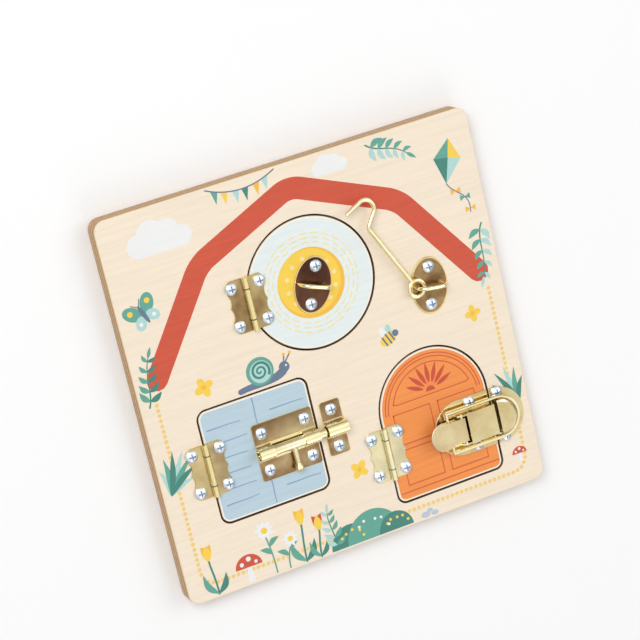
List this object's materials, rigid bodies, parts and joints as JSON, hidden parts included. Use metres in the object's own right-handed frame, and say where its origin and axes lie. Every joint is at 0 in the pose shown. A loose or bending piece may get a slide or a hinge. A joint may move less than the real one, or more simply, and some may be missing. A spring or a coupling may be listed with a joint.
{
  "type": "busy board",
  "caption": "Square wooden busy board with a round window, a square shutter and an arched door, each hinged and closed by a hook, a barrel bolt or a draw latch.",
  "frame": {"origin": "middle of the back face, on which the board lies", "axes": "+X to the right of the face, +Y to its top, +Z out of the face"},
  "size_m": [0.22, 0.22, 0.0216],
  "materials": {
    "printed_plywood": "printed, matt varnish",
    "plain_plywood": "sanded",
    "window_print": "printed, matt varnish",
    "shutter_print": "printed, matt varnish",
    "arched_door_print": "printed, matt varnish",
    "hardware_brass": "polished plate",
    "screw_steel": "zinc plated"
  },
  "bodies": {
    "board": {"front_panel": "printed_plywood", "back_panel": "plain_plywood", "window_hinge_frame_leaf": "hardware_brass", "window_hinge_pin": "hardware_brass", "window_hinge_frame_screws": "screw_steel", "shutter_hinge_frame_leaf": "hardware_brass", "shutter_hinge_pin": "hardware_brass", "shutter_hinge_frame_screws": "screw_steel", "arched_door_hinge_frame_leaf": "hardware_brass", "arched_door_hinge_pin": "hardware_brass", "arched_door_hinge_frame_screws": "screw_steel", "bolt_keeper": "hardware_brass", "bolt_keeper_screws": "screw_steel", "eye_plate": "hardware_brass", "eye_staple": "hardware_brass", "eye_screws": "screw_steel", "strike_plate": "hardware_brass", "strike_screws": "screw_steel"},
    "window_door": {"window_disc": "window_print", "window_hinge_door_leaf": "hardware_brass", "window_hinge_door_screws": "screw_steel", "catch_plate": "hardware_brass", "catch_staple": "hardware_brass", "catch_screws": "screw_steel"},
    "shutter": {"shutter_panel": "shutter_print", "shutter_hinge_door_leaf": "hardware_brass", "shutter_hinge_door_screws": "screw_steel", "bolt_plate": "hardware_brass", "bolt_plate_screws": "screw_steel"},
    "bolt": {"bolt_rod": "hardware_brass"},
    "knob": {"bolt_knob": "hardware_brass"},
    "arched_door": {"arched_door_panel": "arched_door_print", "arched_door_hinge_door_leaf": "hardware_brass", "arched_door_hinge_door_screws": "screw_steel", "latch_base": "hardware_brass", "latch_base_screws": "screw_steel", "latch_pivot_pin": "hardware_brass"},
    "lever": {"latch_lever": "hardware_brass"},
    "loop": {"latch_loop": "hardware_brass"},
    "hook": {"cabin_hook": "hardware_brass"}
  },
  "joints": [
    {"name": "window_swing", "type": "hinge", "parent": "board", "child": "window_door", "pos_m": [-0.03695, 0.0424, 0.01395], "axis": [0, -1, 0], "range_deg": [0, 150]},
    {"name": "shutter_swing", "type": "hinge", "parent": "board", "child": "shutter", "pos_m": [-0.08115, -0.039, 0.01395], "axis": [0, -1, 0], "range_deg": [0, 150]},
    {"name": "arched_door_swing", "type": "hinge", "parent": "board", "child": "arched_door", "pos_m": [0.02045, -0.065, 0.01395], "axis": [0, -1, 0], "range_deg": [0, 150]},
    {"name": "bolt_slide", "type": "slide", "parent": "shutter", "child": "bolt", "axis": [1, 0, 0], "range_m": [-0.0104, 0.0038]},
    {"name": "knob_turn", "type": "hinge", "parent": "bolt", "child": "knob", "pos_m": [-0.03265, -0.0396, 0.0159], "axis": [-1, 0, 0], "range_deg": [0, 180]},
    {"name": "lever_lift", "type": "hinge", "parent": "arched_door", "child": "lever", "pos_m": [0.0655, -0.065, 0.0174], "axis": [0, 1, 0], "range_deg": [0, 115]},
    {"name": "loop_swing", "type": "hinge", "parent": "lever", "child": "loop", "pos_m": [0.0573, -0.065, 0.0165], "axis": [0, 1, 0], "range_deg": [-149.5, 0]},
    {"name": "hook_swing", "type": "hinge", "parent": "board", "child": "hook", "pos_m": [0.05788, 0.02088, 0.01467], "axis": [0, 0, 1], "range_deg": [-50, 48]}
  ],
  "couplings": [
    {"joint": "loop_swing", "follows": "lever_lift", "ratio": -1.3}
  ]
}
